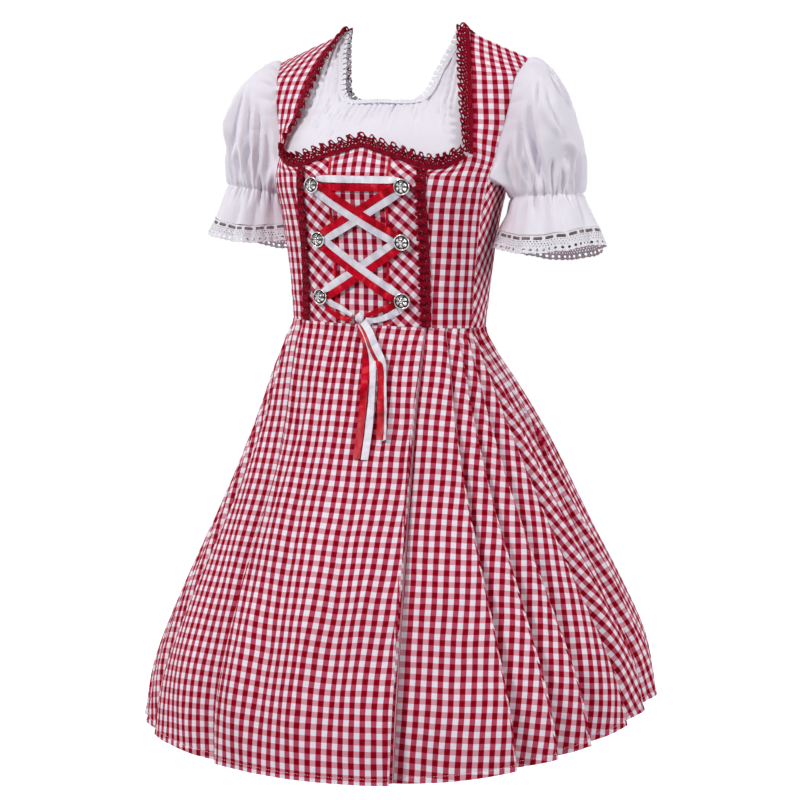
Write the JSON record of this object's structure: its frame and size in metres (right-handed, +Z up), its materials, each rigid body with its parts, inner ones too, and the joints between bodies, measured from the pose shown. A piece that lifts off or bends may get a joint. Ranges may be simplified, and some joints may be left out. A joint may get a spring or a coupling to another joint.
{
  "type": "dirndl dress and blouse costume set",
  "caption": "Filled-out gingham dirndl with a button-and-ribbon laced bodice and a pleated skirt, over a white blouse with puff sleeves and lace edges.",
  "frame": {"origin": "midway between the two shoulder seams at the neck, where the wearer's shoulders carry the set", "axes": "+Z up, -Y is the front of the dress, +X is the wearer's left"},
  "size_m": [0.7062, 0.7047, 0.9471],
  "materials": {
    "gingham": "matt woven cotton in red and white checks, about 7 mm each",
    "cotton": "soft matt white plain weave",
    "red_lace": "dark red crochet lace",
    "white_lace": "white beading lace",
    "red_satin": "red satin ribbon",
    "white_satin": "white satin ribbon",
    "antique_silver": "antique silver, darker in the hollows"
  },
  "bodies": {
    "root": {"bodice_centre": "gingham", "bodice_bias_right": "gingham", "bodice_bias_left": "gingham", "bodice_front_right": "gingham", "bodice_front_left": "gingham", "bodice_side_right": "gingham", "bodice_side_left": "gingham", "bodice_back_right": "gingham", "bodice_back_left": "gingham", "skirt_front": "gingham", "skirt_back_left": "gingham", "skirt_back_right": "gingham", "blouse_front": "cotton", "blouse_back": "cotton", "sleeve_right": "cotton", "sleeve_left": "cotton", "cuff_lace_right": "white_lace", "cuff_lace_left": "white_lace", "neck_ruffle_front": "red_lace", "neck_ruffle_right": "red_lace", "neck_ruffle_left": "red_lace", "neck_ruffle_back": "red_lace", "blouse_neck_lace": "white_lace", "piping_right": "red_satin", "piping_left": "red_satin", "lace_strip_right": "red_lace", "lace_strip_left": "red_lace", "button_left_1": "antique_silver", "button_right_1": "antique_silver", "button_left_2": "antique_silver", "button_right_2": "antique_silver", "button_left_3": "antique_silver", "button_right_3": "antique_silver", "ribbon_bar_white": "white_satin", "ribbon_bar_red": "red_satin", "ribbon_upper_back_red": "red_satin", "ribbon_upper_back_white": "white_satin", "ribbon_upper_front_red": "red_satin", "ribbon_upper_front_white": "white_satin", "ribbon_lower_back_white": "white_satin", "ribbon_lower_back_red": "red_satin", "ribbon_lower_front_white": "white_satin", "ribbon_lower_front_red": "red_satin", "ribbon_loop_left_red": "red_satin", "ribbon_loop_left_white": "white_satin", "ribbon_loop_right_white": "white_satin", "ribbon_loop_right_red": "red_satin", "ribbon_knot": "white_satin", "ribbon_end_short_red": "red_satin", "ribbon_end_short_white": "white_satin", "ribbon_end_long_red": "red_satin", "ribbon_end_long_white": "white_satin"}
  },
  "joints": []
}
